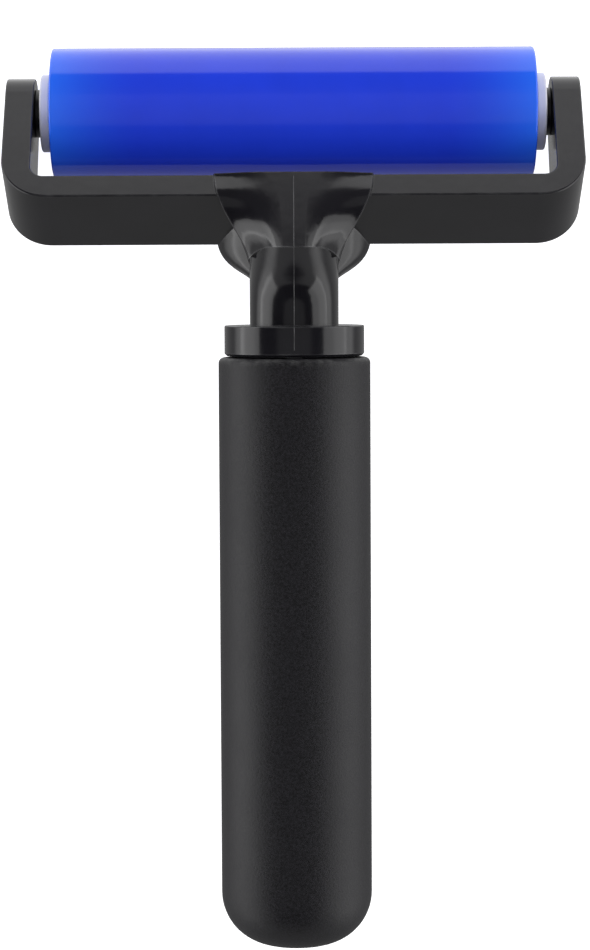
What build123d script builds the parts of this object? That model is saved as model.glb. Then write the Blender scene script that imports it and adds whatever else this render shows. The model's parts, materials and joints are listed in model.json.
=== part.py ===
from build123d import *
import os
from math import asin, atan2, cos, degrees, hypot, radians, sin, sqrt

os.makedirs("parts", exist_ok=True)

# Hand brayer lying at rest: the roller and the free end of the grip touch the table at z = 0.
# +X runs along the roller, +Y from the grip's free end towards the roller, +Z up.
# Sizes are in millimetres.

# Roller
ROLLER_LENGTH = 101.6
ROLLER_RADIUS = 13.6
SLEEVE_LENGTH = 101.0
SLEEVE_EDGE = 0.5
CORE_RADIUS = 8.1
CORE_BORE_RADIUS = 6.0
FLANGE_THICKNESS = 2.1
FLANGE_EDGE = 0.4
SPIGOT_LENGTH = 12.0
SPIGOT_CHAMFER = 0.4

# Axle, held in blind sockets in the two arms
AXLE_RADIUS = 2.5
AXLE_CHAMFER = 0.3
RUNNING_CLEARANCE = 0.05
SOCKET_DEPTH = 3.2
SOCKET_CLEARANCE = 0.02
SOCKET_END_GAP = 0.2
SPACER_RADIUS = 5.0
SPACER_EDGE = 0.2
END_PLAY = 0.1

# Yoke: a flat crossbar with two arms, seen from the side as a teardrop round the axle
YOKE_HALF_WIDTH = 60.1
GAP_HALF_WIDTH = 54.1
ARM_END_RADIUS = 7.3
ARM_TAPER = 4.5
YOKE_REACH = 27.0
CROSSBAR_THICKNESS = 5.4
OUTER_CORNER_RADIUS = 9.6
INNER_CORNER_RADIUS = 2.8
YOKE_EDGE = 0.35

# Handle: the crossbar leans back from the handle's axis by BEND
BEND = 32.0
CROSSBAR_RISE = 0.7
SHAFT_RADIUS = 9.2
SHAFT_TOP = -5.0
COLLAR_RADIUS = 14.5
COLLAR_TOP = -21.6
COLLAR_HEIGHT = 6.3
COLLAR_CHAMFER = 0.5
COLLAR_EDGE = 0.3

# Knee: below the flare the shaft's front swells out to meet the ridge. Each section gives its
# distance along the handle's axis and the height of its front; the shaft's width stays the same.
KNEE = -5.6
KNEE_SECTIONS = [
    (-19.7, 9.2),
    (-17.35, 9.25),
    (-15.0, 9.7),
    (-12.65, 10.9),
    (-10.3, 12.8),
    (-7.95, 15.0),
    (KNEE, 17.1),
]

# Ridge down the middle of the flare: a flat that starts proud of the crossbar's front edge and
# climbs to the knee
RIDGE_TOP = 9.4
RIDGE_TOP_HEIGHT = 6.6
FULLNESS = 0.35
RIM_FLATNESS = 0.7

# Front of the flare, as cross-sections along the handle's axis: distance along it, half width of
# the ridge, half width and height of the rim, half width at the waist
FLARE_SECTIONS = [
    (-10.0, 2.0, 8.5, 6.6, 9.0),
    (-7.5, 2.1, 9.2, 7.0, 9.7),
    (-5.0, 2.2, 10.15, 7.5, 10.6),
    (-2.5, 2.3, 11.55, 8.1, 11.6),
    (0.0, 2.5, 13.0, 8.7, 12.3),
    (2.5, 2.7, 14.35, 9.3, 12.7),
    (5.0, 3.1, 15.4, 9.25, 12.9),
    (7.5, 4.2, 16.0, 7.55, 13.0),
    (10.0, 6.5, 16.3, 5.7, 13.0),
    (12.5, 8.0, 16.5, 3.9, 13.0),
]
RIM_THICKNESS = 1.3
RIM_ROUNDNESS = 0.25
WAIST_HEIGHT = -1.2
WING_FULLNESS = 0.35

# The flare's lower lip arches over the shaft
LIP_ARCH_WIDTH = 21.0
LIP_ARCH_RADIUS = 6.0

# Back of the flare: distance along the axis, half width at the waist, half width of the wing, the
# heights of its upper and lower edges, height of the back face in the middle
WING_SECTIONS = [
    (-15.0, 6.8, 5.4, -3.0, -4.4, -7.2),
    (-12.5, 8.2, 8.4, -4.6, -6.0, -8.6),
    (-10.0, 9.0, 12.0, -5.8, -7.3, -9.4),
    (-7.5, 9.7, 14.6, -6.8, -8.2, -9.8),
    (-5.0, 10.6, 15.7, -7.4, -8.7, -10.0),
    (-2.5, 11.6, 16.0, -7.6, -9.0, -10.1),
    (0.0, 12.3, 16.0, -7.7, -9.2, -10.2),
    (2.5, 12.7, 16.0, -7.7, -9.2, -10.3),
    (5.0, 12.9, 16.0, -7.7, -9.2, -10.3),
    (7.5, 13.0, 16.0, -7.7, -9.2, -10.3),
]

# Tang inside the grip: four ribs with a disc at the end
TANG_RADIUS = 12.4
TANG_LENGTH = 106.0
RIB_THICKNESS = 3.2
END_DISC_THICKNESS = 2.5

# Grip
GRIP_RADIUS = 15.75
GRIP_LENGTH = 123.5
GRIP_GAP = 0.3
GRIP_RIM = 1.2
GRIP_BORE_RADIUS = 12.5
GRIP_BORE_DEPTH = 110.0
DOME_RADIUS = 31.0
DOME_CORNER_RADIUS = 11.0

# Places worked out from the sizes above, along (y) and across (z) the handle's axis
axle_y = YOKE_REACH * cos(radians(BEND))
axle_z = CROSSBAR_RISE - YOKE_REACH * sin(radians(BEND))
collar_bottom = COLLAR_TOP - COLLAR_HEIGHT
grip_top = collar_bottom - GRIP_GAP
grip_end = grip_top - GRIP_LENGTH
corner_radius_place = GRIP_RADIUS - DOME_CORNER_RADIUS
corner_rise = sqrt((DOME_RADIUS - DOME_CORNER_RADIUS) ** 2 - corner_radius_place**2)
corner_y = grip_end + DOME_RADIUS - corner_rise

# Tilt of the handle when the roller and the rounded end of the grip both touch the table
reach_along = axle_y - corner_y
reach_across = -axle_z - corner_radius_place
span = hypot(reach_along, reach_across)
tilt = degrees(asin((ROLLER_RADIUS - DOME_CORNER_RADIUS) / span) + atan2(reach_across, reach_along))
rest_z = ROLLER_RADIUS - axle_y * sin(radians(tilt)) - axle_z * cos(radians(tilt))
roller_front = axle_y * cos(radians(tilt)) - axle_z * sin(radians(tilt)) + ROLLER_RADIUS
grip_back = (grip_end + DOME_RADIUS) * cos(radians(tilt)) - DOME_RADIUS
rest_y = -(roller_front + grip_back) / 2

handle_at_rest = Pos(0, rest_y, rest_z) * Rot(tilt, 0, 0)
yoke_on_handle = Pos(0, axle_y, axle_z) * Rot(-BEND, 0, 0)
axle_at_rest = Pos(0, roller_front - ROLLER_RADIUS + rest_y, ROLLER_RADIUS)


def rod(radius, length, middle=0):
    """A round bar along X."""
    return Pos(middle, 0, 0) * Cylinder(radius, length, rotation=(0, 90, 0))


def bar(radius, start, end):
    """A round bar along the handle's axis, from start to end."""
    return Pos(0, (start + end) / 2, 0) * Cylinder(radius, abs(end - start), rotation=(90, 0, 0))


def round_ends(solid, size):
    """Round the circular edges at the two ends of a bar along X."""
    edges = solid.edges().filter_by(GeomType.CIRCLE)
    ends = edges.group_by(Axis.X)[0] + edges.group_by(Axis.X)[-1]
    return fillet(ends, size)


def yoke():
    """Crossbar and arms, with the axle's blind sockets, in the yoke's own plane."""
    half_depth = (ARM_END_RADIUS + YOKE_REACH * sin(radians(ARM_TAPER))) / cos(radians(ARM_TAPER))
    start_y = ARM_END_RADIUS * sin(radians(ARM_TAPER))
    start_z = ARM_END_RADIUS * cos(radians(ARM_TAPER))
    side = make_face(
        Line((-YOKE_REACH, -half_depth), (-YOKE_REACH, half_depth))
        + Line((-YOKE_REACH, half_depth), (start_y, start_z))
        + ThreePointArc((start_y, start_z), (ARM_END_RADIUS, 0), (start_y, -start_z))
        + Line((start_y, -start_z), (-YOKE_REACH, -half_depth))
    )
    side_bar = extrude(Plane.YZ * side, amount=YOKE_HALF_WIDTH, both=True)
    outer = Rectangle(2 * YOKE_HALF_WIDTH, 2 * YOKE_REACH)
    outer = fillet(outer.vertices().group_by(Axis.Y)[0], OUTER_CORNER_RADIUS)
    gap_bottom = CROSSBAR_THICKNESS - YOKE_REACH
    gap = Pos(0, gap_bottom + YOKE_REACH) * Rectangle(2 * GAP_HALF_WIDTH, 2 * YOKE_REACH)
    gap = fillet(gap.vertices().group_by(Axis.Y)[0], INNER_CORNER_RADIUS)
    front = extrude(outer - gap, amount=half_depth, both=True)
    body = side_bar & front
    body = fillet(body.edges(), YOKE_EDGE)
    for side_sign in (-1, 1):
        depth = SOCKET_DEPTH + SOCKET_END_GAP
        socket = rod(AXLE_RADIUS + SOCKET_CLEARANCE, depth, side_sign * (GAP_HALF_WIDTH + depth / 2))
        body -= socket
    return body


def across(along):
    """Plane square to the handle's axis, with X across and Y towards the front."""
    return Plane(origin=(0, along, 0), x_dir=(1, 0, 0), z_dir=(0, -1, 0))


def ridge_height(along):
    """Height of the ridge, which is straight from the crossbar to the knee."""
    knee_height = KNEE_SECTIONS[-1][1]
    climb = (knee_height - RIDGE_TOP_HEIGHT) / (RIDGE_TOP - KNEE)
    return RIDGE_TOP_HEIGHT + climb * (RIDGE_TOP - along)


def flare_section(section):
    """Front half of the flare: flat ridge, sloping flanks, thin rim and hollow sides."""
    along, ridge, rim, rim_z, waist = section
    crest = ridge_height(along)
    pull = FULLNESS * (rim - ridge)
    slope = RIM_FLATNESS * atan2(crest - rim_z, rim - ridge)
    knuckle = (ridge + pull, crest)
    foot = (rim - pull * cos(slope), rim_z + pull * sin(slope))
    under_z = rim_z - RIM_THICKNESS
    mid_rim = (rim + RIM_ROUNDNESS, (rim_z + under_z) / 2)
    mid_side = ((rim + waist) / 2 - RIM_THICKNESS / 2, (under_z + WAIST_HEIGHT) / 2)
    outline = Line((-ridge, crest), (ridge, crest))
    for side in (1, -1):
        corners = [(side * x, z) for x, z in ((ridge, crest), knuckle, foot, (rim, rim_z))]
        outline += Bezier(*corners)
        outline += ThreePointArc((side * rim, rim_z), (side * mid_rim[0], mid_rim[1]), (side * rim, under_z))
        middle = (side * mid_side[0], mid_side[1])
        outline += ThreePointArc((side * rim, under_z), middle, (side * waist, WAIST_HEIGHT))
    outline += Line((waist, WAIST_HEIGHT), (-waist, WAIST_HEIGHT))
    return across(along) * make_face(outline)


def wing_section(section):
    """Back half of the flare: sides that spread into thin wings, and a crowned back."""
    along, waist, wing, wing_top, wing_bottom, back = section
    mid_wing = (wing + RIM_ROUNDNESS, (wing_top + wing_bottom) / 2)
    mid_side = ((waist + wing) / 2 + WING_FULLNESS, (WAIST_HEIGHT + wing_top) / 2 + WING_FULLNESS)
    outline = Line((-waist, WAIST_HEIGHT), (waist, WAIST_HEIGHT))
    for side in (1, -1):
        middle = (side * mid_side[0], mid_side[1])
        outline += ThreePointArc((side * waist, WAIST_HEIGHT), middle, (side * wing, wing_top))
        edge = (side * mid_wing[0], mid_wing[1])
        outline += ThreePointArc((side * wing, wing_top), edge, (side * wing, wing_bottom))
    outline += ThreePointArc((wing, wing_bottom), (0, back), (-wing, wing_bottom))
    return across(along) * make_face(outline)


def knee_section(section):
    """Round section of the shaft whose front half is drawn out to the given height."""
    along, front = section
    outline = EllipticalCenterArc((0, 0), SHAFT_RADIUS, front, start_angle=0, arc_size=180)
    outline += EllipticalCenterArc((0, 0), SHAFT_RADIUS, SHAFT_RADIUS, start_angle=180, arc_size=180)
    return across(along) * make_face(outline)


def neck():
    """Knee and flare between the round shaft and the crossbar, cut flush with the yoke's gap."""
    flare = loft([flare_section(section) for section in FLARE_SECTIONS])
    arch = Pos(0, KNEE - LIP_ARCH_WIDTH) * Rectangle(LIP_ARCH_WIDTH, 2 * LIP_ARCH_WIDTH)
    arch = fillet(arch.vertices().group_by(Axis.Y)[-1], LIP_ARCH_RADIUS)
    flare -= Pos(0, 0, WAIST_HEIGHT) * extrude(arch, amount=2 * LIP_ARCH_WIDTH)
    flare += loft([wing_section(section) for section in WING_SECTIONS])
    flare += loft([knee_section(section) for section in KNEE_SECTIONS])
    gap_bottom = CROSSBAR_THICKNESS - YOKE_REACH
    cutter = Pos(0, gap_bottom + YOKE_REACH, 0) * Box(2 * YOKE_REACH, 2 * YOKE_REACH, 2 * YOKE_REACH)
    return flare - yoke_on_handle * cutter


def collar():
    """Round collar that closes the top of the grip."""
    disc = bar(COLLAR_RADIUS, COLLAR_TOP, collar_bottom)
    rims = disc.edges().filter_by(GeomType.CIRCLE).sort_by(Axis.Y)
    disc = chamfer(rims[0], COLLAR_CHAMFER)
    rims = disc.edges().filter_by(GeomType.CIRCLE).sort_by(Axis.Y)
    return fillet(rims[-1], COLLAR_EDGE)


def tang():
    """Ribbed tang that the grip is pressed onto."""
    tang_end = collar_bottom - TANG_LENGTH
    envelope = bar(TANG_RADIUS, collar_bottom, tang_end)
    middle = (collar_bottom + tang_end) / 2
    ribs = Box(2 * TANG_RADIUS, TANG_LENGTH, RIB_THICKNESS)
    ribs += Box(RIB_THICKNESS, TANG_LENGTH, 2 * TANG_RADIUS)
    ribs = envelope & (Pos(0, middle, 0) * ribs)
    return ribs + bar(TANG_RADIUS, tang_end, tang_end + END_DISC_THICKNESS)


def yoke_frame():
    """The whole moulded frame: yoke, neck, shaft, collar and tang."""
    frame = yoke_on_handle * yoke() + neck()
    frame += bar(SHAFT_RADIUS, SHAFT_TOP, collar_bottom + COLLAR_HEIGHT / 2)
    frame += collar()
    frame += tang()
    return handle_at_rest * frame


def grip():
    """Closed-end grip sleeve: a straight barrel with a shallow domed end and a blind bore."""
    dome_centre = grip_end + DOME_RADIUS
    reach = DOME_RADIUS / (DOME_RADIUS - DOME_CORNER_RADIUS)
    join = (corner_radius_place * reach, dome_centre + (corner_y - dome_centre) * reach)
    corner_angle = (atan2(join[1] - corner_y, join[0] - corner_radius_place)) / 2
    corner_mid = (
        corner_radius_place + DOME_CORNER_RADIUS * cos(corner_angle),
        corner_y + DOME_CORNER_RADIUS * sin(corner_angle),
    )
    dome_angle = atan2(join[0], dome_centre - join[1]) / 2
    dome_mid = (DOME_RADIUS * sin(dome_angle), dome_centre - DOME_RADIUS * cos(dome_angle))
    profile = Line((0, grip_end), (0, grip_top))
    profile += Line((0, grip_top), (GRIP_RADIUS, grip_top))
    profile += Line((GRIP_RADIUS, grip_top), (GRIP_RADIUS, corner_y))
    profile += ThreePointArc((GRIP_RADIUS, corner_y), corner_mid, join)
    profile += ThreePointArc(join, dome_mid, (0, grip_end))
    barrel = revolve(make_face(profile), Axis.Y)
    barrel = fillet(barrel.edges().filter_by(GeomType.CIRCLE).sort_by(Axis.Y)[-1], GRIP_RIM)
    barrel -= bar(GRIP_BORE_RADIUS, grip_top, grip_top - GRIP_BORE_DEPTH)
    return handle_at_rest * barrel


def roller_sleeve():
    """Soft roller covering."""
    sleeve = round_ends(rod(ROLLER_RADIUS, SLEEVE_LENGTH), SLEEVE_EDGE)
    return axle_at_rest * (sleeve - rod(CORE_RADIUS, ROLLER_LENGTH))


def core_tube():
    """Stiff tube that the covering sits on."""
    return axle_at_rest * (rod(CORE_RADIUS, ROLLER_LENGTH) - rod(CORE_BORE_RADIUS, ROLLER_LENGTH))


def end_bushing(side_sign):
    """Flanged bushing pressed into one end of the core tube; it turns on the axle."""
    flange_middle = side_sign * (ROLLER_LENGTH + FLANGE_THICKNESS) / 2
    flange = fillet(rod(CORE_RADIUS, FLANGE_THICKNESS).edges().filter_by(GeomType.CIRCLE), FLANGE_EDGE)
    spigot = rod(CORE_BORE_RADIUS, SPIGOT_LENGTH)
    spigot = chamfer(spigot.edges().filter_by(GeomType.CIRCLE).sort_by(Axis.X)[0], SPIGOT_CHAMFER)
    spigot = Pos((ROLLER_LENGTH - SPIGOT_LENGTH) / 2, 0, 0) * spigot
    spigot = spigot if side_sign > 0 else mirror(spigot, Plane.YZ)
    bushing = Pos(flange_middle, 0, 0) * flange + spigot
    return axle_at_rest * (bushing - rod(AXLE_RADIUS + RUNNING_CLEARANCE, 2 * YOKE_HALF_WIDTH))


def axle():
    """Steel axle rod, its ends in the arms' sockets."""
    pin = rod(AXLE_RADIUS, 2 * (GAP_HALF_WIDTH + SOCKET_DEPTH))
    return axle_at_rest * chamfer(pin.edges().filter_by(GeomType.CIRCLE), AXLE_CHAMFER)


def spacer(side_sign):
    """Washer on the axle between one arm and the roller."""
    inner = ROLLER_LENGTH / 2 + FLANGE_THICKNESS + END_PLAY
    washer = rod(SPACER_RADIUS, GAP_HALF_WIDTH - inner)
    washer = fillet(washer.edges().filter_by(GeomType.CIRCLE), SPACER_EDGE)
    washer -= rod(AXLE_RADIUS + RUNNING_CLEARANCE, GAP_HALF_WIDTH)
    return axle_at_rest * Pos(side_sign * (GAP_HALF_WIDTH + inner) / 2, 0, 0) * washer


nodes = {
    "yoke_frame": yoke_frame(),
    "grip": grip(),
    "axle": axle(),
    "spacer_left": spacer(-1),
    "spacer_right": spacer(1),
    "roller_sleeve": roller_sleeve(),
    "core_tube": core_tube(),
    "end_bushing_left": end_bushing(-1),
    "end_bushing_right": end_bushing(1),
}
for name, solid in nodes.items():
    export_step(solid, f"parts/{name}.step")
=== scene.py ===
"""Hand brayer on a pale studio table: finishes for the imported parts, the mould seam, lights and camera."""
import json
import math

import bmesh
import bpy
from mathutils import Matrix, Vector


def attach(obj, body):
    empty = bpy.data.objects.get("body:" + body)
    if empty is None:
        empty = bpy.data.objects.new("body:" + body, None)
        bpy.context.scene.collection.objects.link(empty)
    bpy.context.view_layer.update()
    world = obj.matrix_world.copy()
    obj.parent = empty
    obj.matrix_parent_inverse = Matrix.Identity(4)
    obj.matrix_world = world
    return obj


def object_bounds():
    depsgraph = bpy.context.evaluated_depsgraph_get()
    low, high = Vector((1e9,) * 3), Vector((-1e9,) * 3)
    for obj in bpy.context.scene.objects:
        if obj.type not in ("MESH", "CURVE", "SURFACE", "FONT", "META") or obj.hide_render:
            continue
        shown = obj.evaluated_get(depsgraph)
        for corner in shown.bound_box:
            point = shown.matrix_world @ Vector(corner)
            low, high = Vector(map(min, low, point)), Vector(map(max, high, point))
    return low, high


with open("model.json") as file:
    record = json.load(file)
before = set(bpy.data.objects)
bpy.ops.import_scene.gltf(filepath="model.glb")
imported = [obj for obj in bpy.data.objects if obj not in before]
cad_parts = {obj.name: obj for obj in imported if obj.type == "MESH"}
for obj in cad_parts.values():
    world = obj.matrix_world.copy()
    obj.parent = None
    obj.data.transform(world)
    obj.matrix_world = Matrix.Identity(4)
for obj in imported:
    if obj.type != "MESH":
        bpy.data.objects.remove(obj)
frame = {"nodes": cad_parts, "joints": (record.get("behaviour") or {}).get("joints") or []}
cad_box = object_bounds()

bl_info = {
    "name": "Hand brayer",
    "version": (1, 0, 0),
    "blender": (4, 5, 0),
    "location": "3D View > Sidebar > Brayer",
    "description": "Finishes, mould seam and studio for a hand brayer",
    "category": "Object",
}

MM = 0.001
AXLE = Vector(frame["joints"][0]["pos_m"])
WHITE = (1.0, 1.0, 1.0, 1.0)

# Cosine of the angle between the true and the rounded normal where edge wear begins and is full
WEAR_BEGINS = 0.995
WEAR_FULL = 0.90

# Distance from the roller's middle where the painted glow begins, a paler blue that stands in for light
# passing through the rubber, and the roller's end
GLOW_BEGINS = 30 * MM
GLOW_ENDS = 50.8 * MM

# Painted glow: a faint emission that stands in for light passing through the translucent rubber
RUBBER_GLOW = (0.02, 0.05, 1.0, 1.0)
RUBBER_GLOW_STRENGTH = 0.08

# The seam is a thin rod; part of its radius lies under the frame's surface
SEAM_STEPS = 150
SEAM_SIDES = 8
SEAM_SUNK = 0.4
CAST_HEIGHT = 0.2

FLOOR_REACH = 6.0
FLOOR_GLOW = 0.9
FLOOR_CLOUD = 0.5

# Name, place, width, height and power of each soft light, all aimed at the middle of the brayer
LIGHTS = (
    ("side_left", (-0.85, -0.05, 0.19), 1.5, 0.62, 5.0),
    ("side_right", (0.85, -0.05, 0.31), 1.5, 0.75, 5.5),
    ("soft_fill", (0.0, 0.2, 0.95), 1.2, 1.2, 5.0),
)
DIFFUSE_ONLY = ("soft_fill",)
AIM = Vector((0.0, 0.0, 0.02))

SENSOR_WIDTH = 36.0
CLIP_START = 0.05
CLIP_END = 50.0


# ---------------------------------------------------------------- settings


class BrayerColours(bpy.types.PropertyGroup):
    """Colours of the brayer's materials."""

    frame_black: bpy.props.FloatVectorProperty(
        name="Frame",
        description="Moulded plastic of the frame",
        subtype="COLOR",
        size=3,
        default=(0.0072, 0.0068, 0.0092),
    )
    frame_worn: bpy.props.FloatVectorProperty(
        name="Frame, worn",
        description="Rubbed edges of the frame",
        subtype="COLOR",
        size=3,
        default=(0.085, 0.085, 0.089),
    )
    grip_black: bpy.props.FloatVectorProperty(
        name="Grip",
        description="Fine-grained plastic of the grip",
        subtype="COLOR",
        size=3,
        default=(0.0062, 0.0058, 0.0078),
    )
    grip_worn: bpy.props.FloatVectorProperty(
        name="Grip, worn",
        description="Scuffed rim of the grip",
        subtype="COLOR",
        size=3,
        default=(0.07, 0.07, 0.07),
    )
    roller_blue: bpy.props.FloatVectorProperty(
        name="Roller",
        description="Silicone rubber of the roller",
        subtype="COLOR",
        size=3,
        default=(0.014, 0.048, 0.68),
    )
    # Painted glow: the paler blue near the roller's ends stands in for light passing through the rubber
    roller_end_glow: bpy.props.FloatVectorProperty(
        name="Roller ends",
        description="Where light enters the rubber's ends",
        subtype="COLOR",
        size=3,
        default=(0.02, 0.15, 0.9),
    )
    core_white: bpy.props.FloatVectorProperty(
        name="Core",
        description="Off-white plastic of the core and bushings",
        subtype="COLOR",
        size=3,
        default=(0.74, 0.74, 0.8),
    )
    axle_steel: bpy.props.FloatVectorProperty(
        name="Axle",
        description="Drawn steel",
        subtype="COLOR",
        size=3,
        default=(0.55, 0.55, 0.56),
    )
    floor_white: bpy.props.FloatVectorProperty(
        name="Floor",
        description="Pale studio table",
        subtype="COLOR",
        size=3,
        default=(0.93, 0.93, 0.94),
    )


class BrayerSizes(bpy.types.PropertyGroup):
    """Sizes of the brayer's finishes and of the studio."""

    grip_grain: bpy.props.FloatProperty(
        name="Grip grain",
        description="Width of one grain on the grip",
        default=0.5 * MM,
        min=0.0,
        subtype="DISTANCE",
        unit="LENGTH",
    )
    seam_width: bpy.props.FloatProperty(
        name="Seam width",
        description="Width of the frame's parting line",
        default=0.22 * MM,
        min=0.0,
        subtype="DISTANCE",
        unit="LENGTH",
    )
    seam_start: bpy.props.FloatProperty(
        name="Seam start",
        description="Where the parting line begins, at the crossbar",
        default=65.5 * MM,
        subtype="DISTANCE",
        unit="LENGTH",
    )
    seam_end: bpy.props.FloatProperty(
        name="Seam end",
        description="Where the parting line ends, on the collar",
        default=29.5 * MM,
        subtype="DISTANCE",
        unit="LENGTH",
    )
    camera_height: bpy.props.FloatProperty(
        name="Camera height",
        description="Height of the camera above the roller's axle",
        default=613 * MM,
        min=0.1,
        subtype="DISTANCE",
        unit="LENGTH",
    )
    camera_behind: bpy.props.FloatProperty(
        name="Camera behind the axle",
        description="Distance of the camera from the axle towards the grip",
        default=76.4 * MM,
        subtype="DISTANCE",
        unit="LENGTH",
    )
    camera_roll: bpy.props.FloatProperty(
        name="Camera roll",
        description="Turn of the camera about its own line of sight",
        default=math.radians(-0.28),
        subtype="ANGLE",
        unit="ROTATION",
    )
    camera_lens: bpy.props.FloatProperty(
        name="Lens",
        description="Focal length in millimetres",
        default=110.2,
        min=10.0,
    )


def colours():
    return bpy.context.scene.brayer_colours


def sizes():
    return bpy.context.scene.brayer_sizes


# ---------------------------------------------------------------- node helpers


def shade(colour, factor):
    """A colour made darker or lighter by a factor."""
    return tuple(factor * value for value in colour)


class Nodes:
    """A node tree, with short calls for the nodes that the finishes and the surroundings share."""

    def __init__(self, owner):
        owner.use_nodes = True
        self.tree = owner.node_tree

    def node(self, kind, **settings):
        made = self.tree.nodes.new(kind)
        for name, value in settings.items():
            setattr(made, name, value)
        return made

    def link(self, source, target):
        self.tree.links.new(source, target)

    def remap(self, value, low, high, new_low=0.0, new_high=1.0, **settings):
        made = self.node("ShaderNodeMapRange", **settings)
        names = ("From Min", "From Max", "To Min", "To Max")
        for name, number in zip(names, (low, high, new_low, new_high)):
            made.inputs[name].default_value = number
        self.link(value, made.inputs["Value"])
        return made.outputs["Result"]

    def math(self, operation, first, *second):
        made = self.node("ShaderNodeMath", operation=operation)
        for socket, value in zip(made.inputs, (first, *second)):
            if isinstance(value, (int, float)):
                socket.default_value = value
            else:
                self.link(value, socket)
        return made.outputs["Value"]

    def split(self, vector):
        made = self.node("ShaderNodeSeparateXYZ")
        self.link(vector, made.inputs["Vector"])
        return made.outputs


class Finish(Nodes):
    """A new material whose patterns follow the piece's own Object coordinates."""

    def __init__(self, name):
        self.material = bpy.data.materials.new(name)
        super().__init__(self.material)
        self.shader = self.tree.nodes["Principled BSDF"]
        self.place = self.node("ShaderNodeTexCoord").outputs["Object"]

    def stretched(self, scale):
        mapping = self.node("ShaderNodeMapping")
        mapping.inputs["Scale"].default_value = scale
        self.link(self.place, mapping.inputs["Vector"])
        return mapping.outputs["Vector"]

    def noise(self, feature, detail=3.0, roughness=0.55, place=None):
        made = self.node("ShaderNodeTexNoise")
        made.inputs["Scale"].default_value = 1.0 / feature
        made.inputs["Detail"].default_value = detail
        made.inputs["Roughness"].default_value = roughness
        self.link(place or self.place, made.inputs["Vector"])
        return made.outputs["Fac"]

    def mix(self, factor, first, second):
        made = self.node("ShaderNodeMix", data_type="RGBA")
        self.link(factor, made.inputs["Factor"])
        for socket, value in ((made.inputs[6], first), (made.inputs[7], second)):
            if hasattr(value, "is_linked"):
                self.link(value, socket)
            else:
                socket.default_value = (*value, 1.0)
        return made.outputs[2]

    def mottle(self, pattern, colour, dark, light, low=0.3, high=0.7):
        """A colour that drifts between a darker and a lighter shade of itself."""
        return self.mix(self.remap(pattern, low, high), shade(colour, dark), shade(colour, light))

    def edges(self, radius):
        """How near a point is to a convex or concave edge, from a rounded normal."""
        bevel = self.node("ShaderNodeBevel", samples=4)
        bevel.inputs["Radius"].default_value = radius
        normal = self.node("ShaderNodeNewGeometry").outputs["Normal"]
        dot = self.node("ShaderNodeVectorMath", operation="DOT_PRODUCT")
        self.link(bevel.outputs["Normal"], dot.inputs[0])
        self.link(normal, dot.inputs[1])
        return self.remap(dot.outputs["Value"], WEAR_BEGINS, WEAR_FULL)

    def bump(self, height, distance, strength, below=None):
        made = self.node("ShaderNodeBump")
        made.inputs["Distance"].default_value = distance
        made.inputs["Strength"].default_value = strength
        self.link(height, made.inputs["Height"])
        if below is not None:
            self.link(below, made.inputs["Normal"])
        return made.outputs["Normal"]

    def fix(self, name, value):
        """Set a value that is the same all over the surface, on the shader's own socket."""
        self.shader.inputs[name].default_value = value

    def done(self, colour, roughness, normal=None):
        self.link(colour, self.shader.inputs["Base Color"])
        self.link(roughness, self.shader.inputs["Roughness"])
        if normal is not None:
            self.link(normal, self.shader.inputs["Normal"])
        return self.material


def finish_node(name, material):
    """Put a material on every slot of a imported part."""
    slots = frame["nodes"][name].material_slots
    if not slots:
        raise RuntimeError(f"{name} has no material slot")
    for slot in slots:
        slot.material = material


# ---------------------------------------------------------------- finishes


def frame_plastic():
    """Semi-gloss black moulding, slightly wavy, rubbed grey along its edges."""
    f = Finish("frame_plastic_black")
    cloud = f.noise(14 * MM, detail=4)
    fine = f.noise(0.9 * MM, detail=5)
    edge = f.math("MULTIPLY", f.edges(0.5 * MM), f.remap(f.noise(2.5 * MM), 0.35, 0.7, 0.2, 1.0))
    colour = f.mix(edge, f.mottle(cloud, colours().frame_black, 0.8, 1.25), tuple(colours().frame_worn))
    rough = f.math("ADD", f.remap(cloud, 0.3, 0.7, 0.11, 0.16), f.remap(fine, 0.3, 0.75, 0.0, 0.05))
    rough = f.math("ADD", rough, f.math("MULTIPLY", edge, 0.1))
    waves = f.bump(f.noise(7 * MM, detail=2), 0.08 * MM, 0.35)
    return f.done(colour, rough, f.bump(fine, 0.003 * MM, 0.4, below=waves))


def grip_plastic():
    """Matte black with a fine leathery grain and a scuffed rim."""
    f = Finish("grip_plastic_black")
    grain = f.noise(sizes().grip_grain, detail=3, roughness=0.6)
    cloud = f.noise(20 * MM, detail=4)
    edge = f.math("MULTIPLY", f.edges(1.8 * MM), f.remap(f.noise(1.6 * MM, detail=4), 0.45, 0.58))
    body = f.mottle(grain, colours().grip_black, 0.5, 1.7, low=0.35, high=0.65)
    colour = f.mix(edge, body, tuple(colours().grip_worn))
    rough = f.math("ADD", f.remap(cloud, 0.3, 0.7, 0.42, 0.5), f.remap(grain, 0.3, 0.7, 0.0, 0.12))
    f.fix("Specular IOR Level", 0.4)
    return f.done(colour, rough, f.bump(grain, 0.07 * MM, 0.8))


def roller_silicone():
    """Glossy translucent blue rubber, with painted glow: paler towards its ends and a faint emission, both
    standing in for light passing through the rubber.
    """
    f = Finish("roller_silicone_blue")
    along = f.math("ABSOLUTE", f.split(f.place)["X"])
    # Painted glow: the colour turns paler towards both ends, standing in for light passing through the
    # rubber
    ends = f.math("POWER", f.remap(along, GLOW_BEGINS, GLOW_ENDS), 2.0)
    body = f.mottle(f.noise(18 * MM, detail=3), colours().roller_blue, 0.94, 1.05)
    colour = f.mix(ends, body, tuple(colours().roller_end_glow))
    rough = f.remap(f.noise(3 * MM, detail=5), 0.3, 0.75, 0.07, 0.13)
    # Painted glow: the rubber emits a faint blue light of its own, standing in for light passing through it
    f.fix("Emission Color", RUBBER_GLOW)
    f.fix("Emission Strength", RUBBER_GLOW_STRENGTH)
    return f.done(colour, rough, f.bump(f.noise(12 * MM, detail=2), 0.05 * MM, 0.2))


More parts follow.
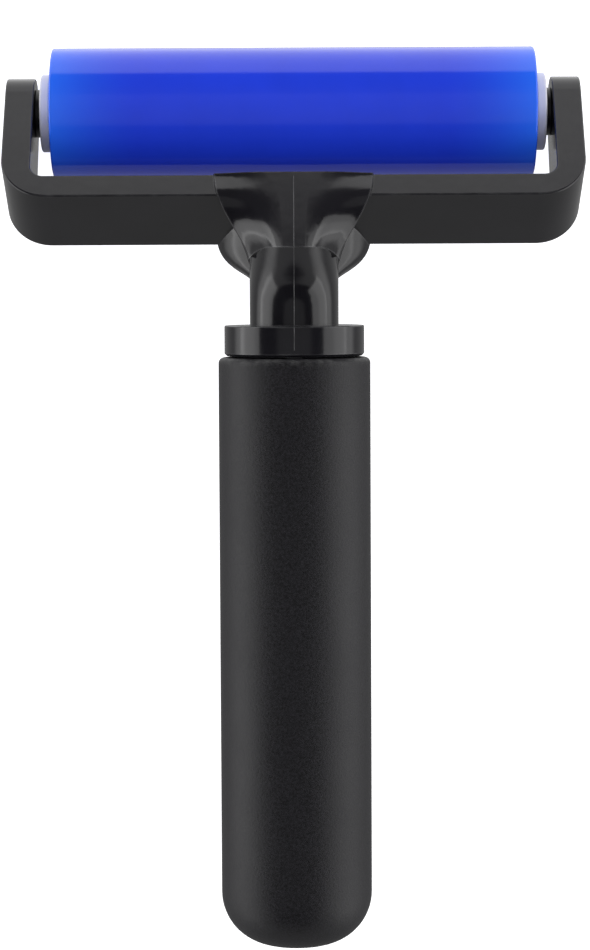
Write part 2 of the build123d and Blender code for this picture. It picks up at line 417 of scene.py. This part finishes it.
def core_plastic():
    """Off-white moulding of the core and bushings."""
    f = Finish("core_plastic_white")
    colour = f.mottle(f.noise(5 * MM, detail=4), colours().core_white, 0.93, 1.0)
    rough = f.remap(f.noise(1.2 * MM, detail=4), 0.3, 0.7, 0.3, 0.42)
    return f.done(colour, rough, f.bump(f.noise(0.8 * MM), 0.005 * MM, 0.5))


def spacer_plastic():
    """Black washers, duller than the frame."""
    f = Finish("spacer_plastic_black")
    cloud = f.noise(2 * MM, detail=4)
    colour = f.mottle(cloud, colours().frame_black, 0.6, 1.0)
    return f.done(colour, f.remap(cloud, 0.3, 0.7, 0.3, 0.4), f.bump(cloud, 0.01 * MM, 0.4))


def axle_steel():
    """Drawn steel with fine lines along the rod."""
    f = Finish("axle_steel_drawn")
    lines = f.noise(0.25 * MM, detail=2, place=f.stretched((0.02, 1.0, 1.0)))
    steel = colours().axle_steel
    colour = f.mix(lines, shade(steel, 0.85), shade(steel, 1.0))
    f.fix("Metallic", 1.0)
    return f.done(colour, f.remap(lines, 0.3, 0.7, 0.22, 0.34), f.bump(lines, 0.004 * MM, 0.5))


def floor_finish():
    """Pale table that stays white under the soft lights."""
    f = Finish("studio_floor_white")
    cloud = f.noise(FLOOR_CLOUD)
    white = colours().floor_white
    f.fix("Emission Color", WHITE)
    f.fix("Emission Strength", FLOOR_GLOW)
    return f.done(f.mix(cloud, shade(white, 0.98), shade(white, 1.0)), f.remap(cloud, 0.3, 0.7, 0.6, 0.7))


# ---------------------------------------------------------------- the frame's parting line


def seam_line(radius):
    """Points down the middle of the frame's upper surface, from the crossbar to the collar."""
    body = frame["nodes"]["yoke_frame"]
    top = cad_box[1][2] - radius
    first, last = sizes().seam_start, sizes().seam_end
    points = []
    for step in range(SEAM_STEPS + 1):
        y = first + (last - first) * step / SEAM_STEPS
        hit, place, _, _ = body.ray_cast(Vector((0.0, y, CAST_HEIGHT)), Vector((0.0, 0.0, -1.0)))
        if not hit:
            raise RuntimeError("the seam left the frame")
        points.append(Vector((0.0, y, min(place.z - SEAM_SUNK * radius, top))))
    return points


def mould_seam():
    """Raised parting line, a thin rod grown from point to point along the frame."""
    radius = sizes().seam_width / 2
    points = seam_line(radius)
    made = bmesh.new()
    upright = Matrix.Translation(points[0]) @ Matrix.Rotation(math.radians(90), 4, "X")
    bmesh.ops.create_circle(made, cap_ends=True, segments=SEAM_SIDES, radius=radius, matrix=upright)
    edges = made.edges[:]
    for before, after in zip(points, points[1:]):
        grown = bmesh.ops.extrude_edge_only(made, edges=edges)["geom"]
        verts = {item for item in grown if isinstance(item, bmesh.types.BMVert)}
        bmesh.ops.translate(made, verts=list(verts), vec=after - before)
        rims = [item for item in grown if isinstance(item, bmesh.types.BMEdge)]
        edges = [edge for edge in rims if set(edge.verts) <= verts]
    bmesh.ops.edgenet_fill(made, edges=edges)
    bmesh.ops.recalc_face_normals(made, faces=made.faces[:])
    for face in made.faces:
        face.smooth = True
    mesh = bpy.data.meshes.new("mould_seam")
    made.to_mesh(mesh)
    made.free()
    seam = bpy.data.objects.new("mould_seam", mesh)
    bpy.context.scene.collection.objects.link(seam)
    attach(seam, "frame")
    return seam


# ---------------------------------------------------------------- studio


def studio_floor():
    """Broad flat table, seen by the camera but left out of the reflections."""
    made = bmesh.new()
    bmesh.ops.create_grid(made, x_segments=1, y_segments=1, size=FLOOR_REACH)
    mesh = bpy.data.meshes.new("studio_floor")
    made.to_mesh(mesh)
    made.free()
    mesh.materials.append(floor_finish())
    floor = bpy.data.objects.new("studio_floor", mesh)
    bpy.context.scene.collection.objects.link(floor)
    floor.visible_glossy = False
    floor.visible_diffuse = False


def studio_world():
    """Pale surroundings: bright low at the back and beside the table, dim in front and overhead."""
    world = bpy.data.worlds.new("studio_world")
    n = Nodes(world)
    direction = n.split(n.node("ShaderNodeTexCoord").outputs["Generated"])
    across, along, up = direction["X"], direction["Y"], direction["Z"]

    def band(value, low, high, new_low, new_high):
        return n.remap(value, low, high, new_low, new_high, interpolation_type="SMOOTHSTEP")

    # Low walls: bright at the back, dim in front, and dark above about 20 degrees
    low = band(up, 0.31, 0.42, 1.0, 0.06)
    back = band(along, 0.15, 0.6, 0.32, 1.5)
    front = band(up, -0.3, -0.1, 0.32, 0.5)
    walls = n.math("MULTIPLY", low, n.math("MAXIMUM", front, back))

    # Lit table on both sides, below the horizon and fading straight down
    beside = band(n.math("ABSOLUTE", across), 0.4, 0.85, 0.0, 1.5)
    below = n.math("MULTIPLY", band(up, -0.05, 0.05, 1.0, 0.0), band(up, -0.5, -0.25, 0.2, 1.0))
    table = n.math("MULTIPLY", beside, below)

    overhead = band(up, 0.84, 0.92, 0.04, 0.26)
    level = n.math("MAXIMUM", n.math("MAXIMUM", walls, table), overhead)
    background = n.tree.nodes["Background"]
    background.inputs["Color"].default_value = WHITE
    n.link(level, background.inputs["Strength"])
    bpy.context.scene.world = world


def studio_lights():
    """Long soft lights on both sides, and a fill from above that adds no reflection."""
    for name, place, width, height, power in LIGHTS:
        data = bpy.data.lights.new(name, "AREA")
        data.shape = "RECTANGLE"
        data.size = width
        data.size_y = height
        data.energy = power
        lamp = bpy.data.objects.new(name, data)
        bpy.context.scene.collection.objects.link(lamp)
        lamp.location = place
        lamp.rotation_euler = (AIM - Vector(place)).to_track_quat("-Z", "Y").to_euler()
        lamp.visible_camera = False
        lamp.visible_glossy = name not in DIFFUSE_ONLY


def studio_camera():
    """Camera straight above the brayer, a little behind the roller's axle."""
    data = bpy.data.cameras.new("studio_camera")
    data.lens = sizes().camera_lens
    data.sensor_width = SENSOR_WIDTH
    data.clip_start = CLIP_START
    data.clip_end = CLIP_END
    camera = bpy.data.objects.new("studio_camera", data)
    bpy.context.scene.collection.objects.link(camera)
    camera.location = AXLE + Vector((0.0, -sizes().camera_behind, sizes().camera_height))
    camera.rotation_euler = (0.0, 0.0, sizes().camera_roll)
    bpy.context.scene.camera = camera


# ---------------------------------------------------------------- operators


class BRAYER_OT_frame(bpy.types.Operator):
    """Give the yoke frame its black moulded plastic and its parting line"""

    bl_idname = "brayer.frame"
    bl_label = "Yoke frame"

    def execute(self, context):
        plastic = frame_plastic()
        finish_node("yoke_frame", plastic)
        mould_seam().data.materials.append(plastic)
        return {"FINISHED"}


class BRAYER_OT_grip(bpy.types.Operator):
    """Give the grip its fine-grained matte plastic"""

    bl_idname = "brayer.grip"
    bl_label = "Grip"

    def execute(self, context):
        finish_node("grip", grip_plastic())
        return {"FINISHED"}


class BRAYER_OT_roller(bpy.types.Operator):
    """Give the roller its silicone, core, bushings, spacers and axle finishes"""

    bl_idname = "brayer.roller"
    bl_label = "Roller"

    def execute(self, context):
        finish_node("roller_sleeve", roller_silicone())
        core = core_plastic()
        for name in ("core_tube", "end_bushing_left", "end_bushing_right"):
            finish_node(name, core)
        spacer = spacer_plastic()
        for name in ("spacer_left", "spacer_right"):
            finish_node(name, spacer)
        finish_node("axle", axle_steel())
        return {"FINISHED"}


class BRAYER_OT_studio(bpy.types.Operator):
    """Add the pale table, the soft lights and the camera"""

    bl_idname = "brayer.studio"
    bl_label = "Studio"

    def execute(self, context):
        context.scene.view_settings.view_transform = "Standard"
        studio_floor()
        studio_world()
        studio_lights()
        studio_camera()
        return {"FINISHED"}


class BRAYER_PT_sidebar(bpy.types.Panel):
    """Lists the brayer's pieces and settings"""

    bl_idname = "BRAYER_PT_sidebar"
    bl_label = "Hand brayer"
    bl_space_type = "VIEW_3D"
    bl_region_type = "UI"
    bl_category = "Brayer"

    def draw(self, context):
        layout = self.layout
        for group in (context.scene.brayer_colours, context.scene.brayer_sizes):
            for name in group.__annotations__:
                layout.prop(group, name)
        for operator in OPERATORS:
            layout.operator(operator.bl_idname)


OPERATORS = (BRAYER_OT_frame, BRAYER_OT_grip, BRAYER_OT_roller, BRAYER_OT_studio)
CLASSES = (BrayerColours, BrayerSizes, *OPERATORS, BRAYER_PT_sidebar)


def register():
    for cls in CLASSES:
        bpy.utils.register_class(cls)
    bpy.types.Scene.brayer_colours = bpy.props.PointerProperty(type=BrayerColours)
    bpy.types.Scene.brayer_sizes = bpy.props.PointerProperty(type=BrayerSizes)


def unregister():
    del bpy.types.Scene.brayer_sizes
    del bpy.types.Scene.brayer_colours
    for cls in reversed(CLASSES):
        bpy.utils.unregister_class(cls)


def main():
    register()
    bpy.ops.brayer.frame()
    bpy.ops.brayer.grip()
    bpy.ops.brayer.roller()
    bpy.ops.brayer.studio()


if __name__ == "__main__":
    main()
